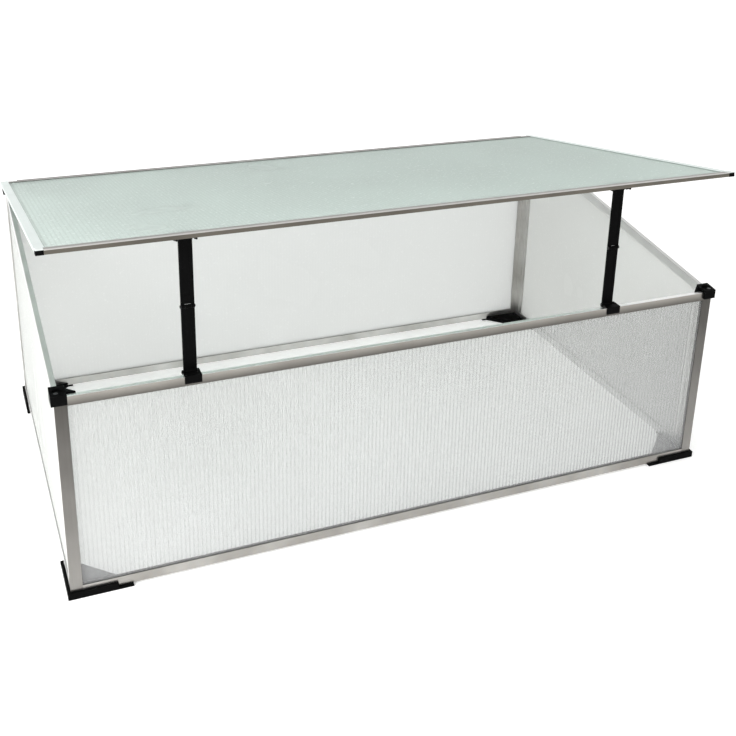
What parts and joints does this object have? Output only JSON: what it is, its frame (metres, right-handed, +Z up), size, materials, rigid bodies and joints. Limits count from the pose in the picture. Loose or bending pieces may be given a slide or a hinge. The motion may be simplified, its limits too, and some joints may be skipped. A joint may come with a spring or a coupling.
{
  "type": "cold frame",
  "caption": "Low aluminium cold frame with twin-wall sheets, a sloping rear-hinged lid and two folding lid stays that prop it open.",
  "frame": {"origin": "on the ground, under the middle of the frame", "axes": "+X to the right along the front, +Y towards the hinged rear wall, +Z up"},
  "size_m": [1.012, 0.6113, 0.4987],
  "materials": {
    "aluminium_profile": "satin, mill finish extrusion",
    "twinwall_sheet": "milky translucent twin-wall sheet",
    "corner_plastic": "black moulded plastic, fine grain",
    "stay_plastic": "black moulded plastic",
    "steel_screw": "zinc plated",
    "steel_pin": "blackened"
  },
  "bodies": {
    "frame": {"front_left_post": "aluminium_profile", "front_left_top_connector": "corner_plastic", "front_left_foot": "corner_plastic", "front_right_post": "aluminium_profile", "front_right_top_connector": "corner_plastic", "front_right_foot": "corner_plastic", "rear_left_post": "aluminium_profile", "rear_left_top_connector": "corner_plastic", "rear_left_foot": "corner_plastic", "rear_right_post": "aluminium_profile", "rear_right_top_connector": "corner_plastic", "rear_right_foot": "corner_plastic", "front_bottom_rail": "aluminium_profile", "rear_bottom_rail": "aluminium_profile", "left_bottom_rail": "aluminium_profile", "right_bottom_rail": "aluminium_profile", "front_top_rail": "aluminium_profile", "rear_top_rail": "aluminium_profile", "left_top_rail": "aluminium_profile", "right_top_rail": "aluminium_profile", "front_panel": "twinwall_sheet", "rear_panel": "twinwall_sheet", "left_panel": "twinwall_sheet", "right_panel": "twinwall_sheet", "connector_screws": "steel_screw", "left_stay_rail_bracket": "stay_plastic", "left_stay_foot_pins": "steel_pin", "right_stay_rail_bracket": "stay_plastic", "right_stay_foot_pins": "steel_pin"},
    "lid": {"lid_panel": "twinwall_sheet", "lid_front_profile": "aluminium_profile", "lid_rear_profile": "aluminium_profile", "lid_left_edge": "aluminium_profile", "lid_right_edge": "aluminium_profile", "lid_left_end_cap": "corner_plastic", "lid_right_end_cap": "corner_plastic", "left_stay_lid_bracket": "stay_plastic", "left_stay_top_pin": "steel_pin", "right_stay_lid_bracket": "stay_plastic", "right_stay_top_pin": "steel_pin"},
    "left_upper_arm": {"left_stay_upper_arm": "stay_plastic", "left_stay_knee_pin": "steel_pin"},
    "left_lower_arm": {"left_stay_lower_arm": "stay_plastic"},
    "right_upper_arm": {"right_stay_upper_arm": "stay_plastic", "right_stay_knee_pin": "steel_pin"},
    "right_lower_arm": {"right_stay_lower_arm": "stay_plastic"}
  },
  "joints": [
    {"name": "lid_hinge", "type": "hinge", "parent": "frame", "child": "lid", "pos_m": [0, 0.2965, 0.3923], "axis": [1, 0, 0], "range_deg": [0, 17.6]},
    {"name": "left_stay_top", "type": "hinge", "parent": "lid", "child": "left_upper_arm", "pos_m": [-0.326, -0.28326, 0.48438], "axis": [1, 0, 0], "range_deg": [-0.5, 72.82]},
    {"name": "left_stay_knee", "type": "hinge", "parent": "left_upper_arm", "child": "left_lower_arm", "pos_m": [-0.326, -0.28353, 0.39159], "axis": [1, 0, 0], "range_deg": [-176.82, 0.5]},
    {"name": "right_stay_top", "type": "hinge", "parent": "lid", "child": "right_upper_arm", "pos_m": [0.316, -0.28326, 0.48438], "axis": [1, 0, 0], "range_deg": [-0.5, 72.82]},
    {"name": "right_stay_knee", "type": "hinge", "parent": "right_upper_arm", "child": "right_lower_arm", "pos_m": [0.316, -0.28353, 0.39159], "axis": [1, 0, 0], "range_deg": [-176.82, 0.5]}
  ],
  "couplings": [
    {"joint": "left_stay_top", "follows": "lid_hinge", "ratio": 4.1091},
    {"joint": "left_stay_knee", "follows": "lid_hinge", "ratio": -10.018},
    {"joint": "right_stay_top", "follows": "lid_hinge", "ratio": 4.1091},
    {"joint": "right_stay_knee", "follows": "lid_hinge", "ratio": -10.018}
  ]
}
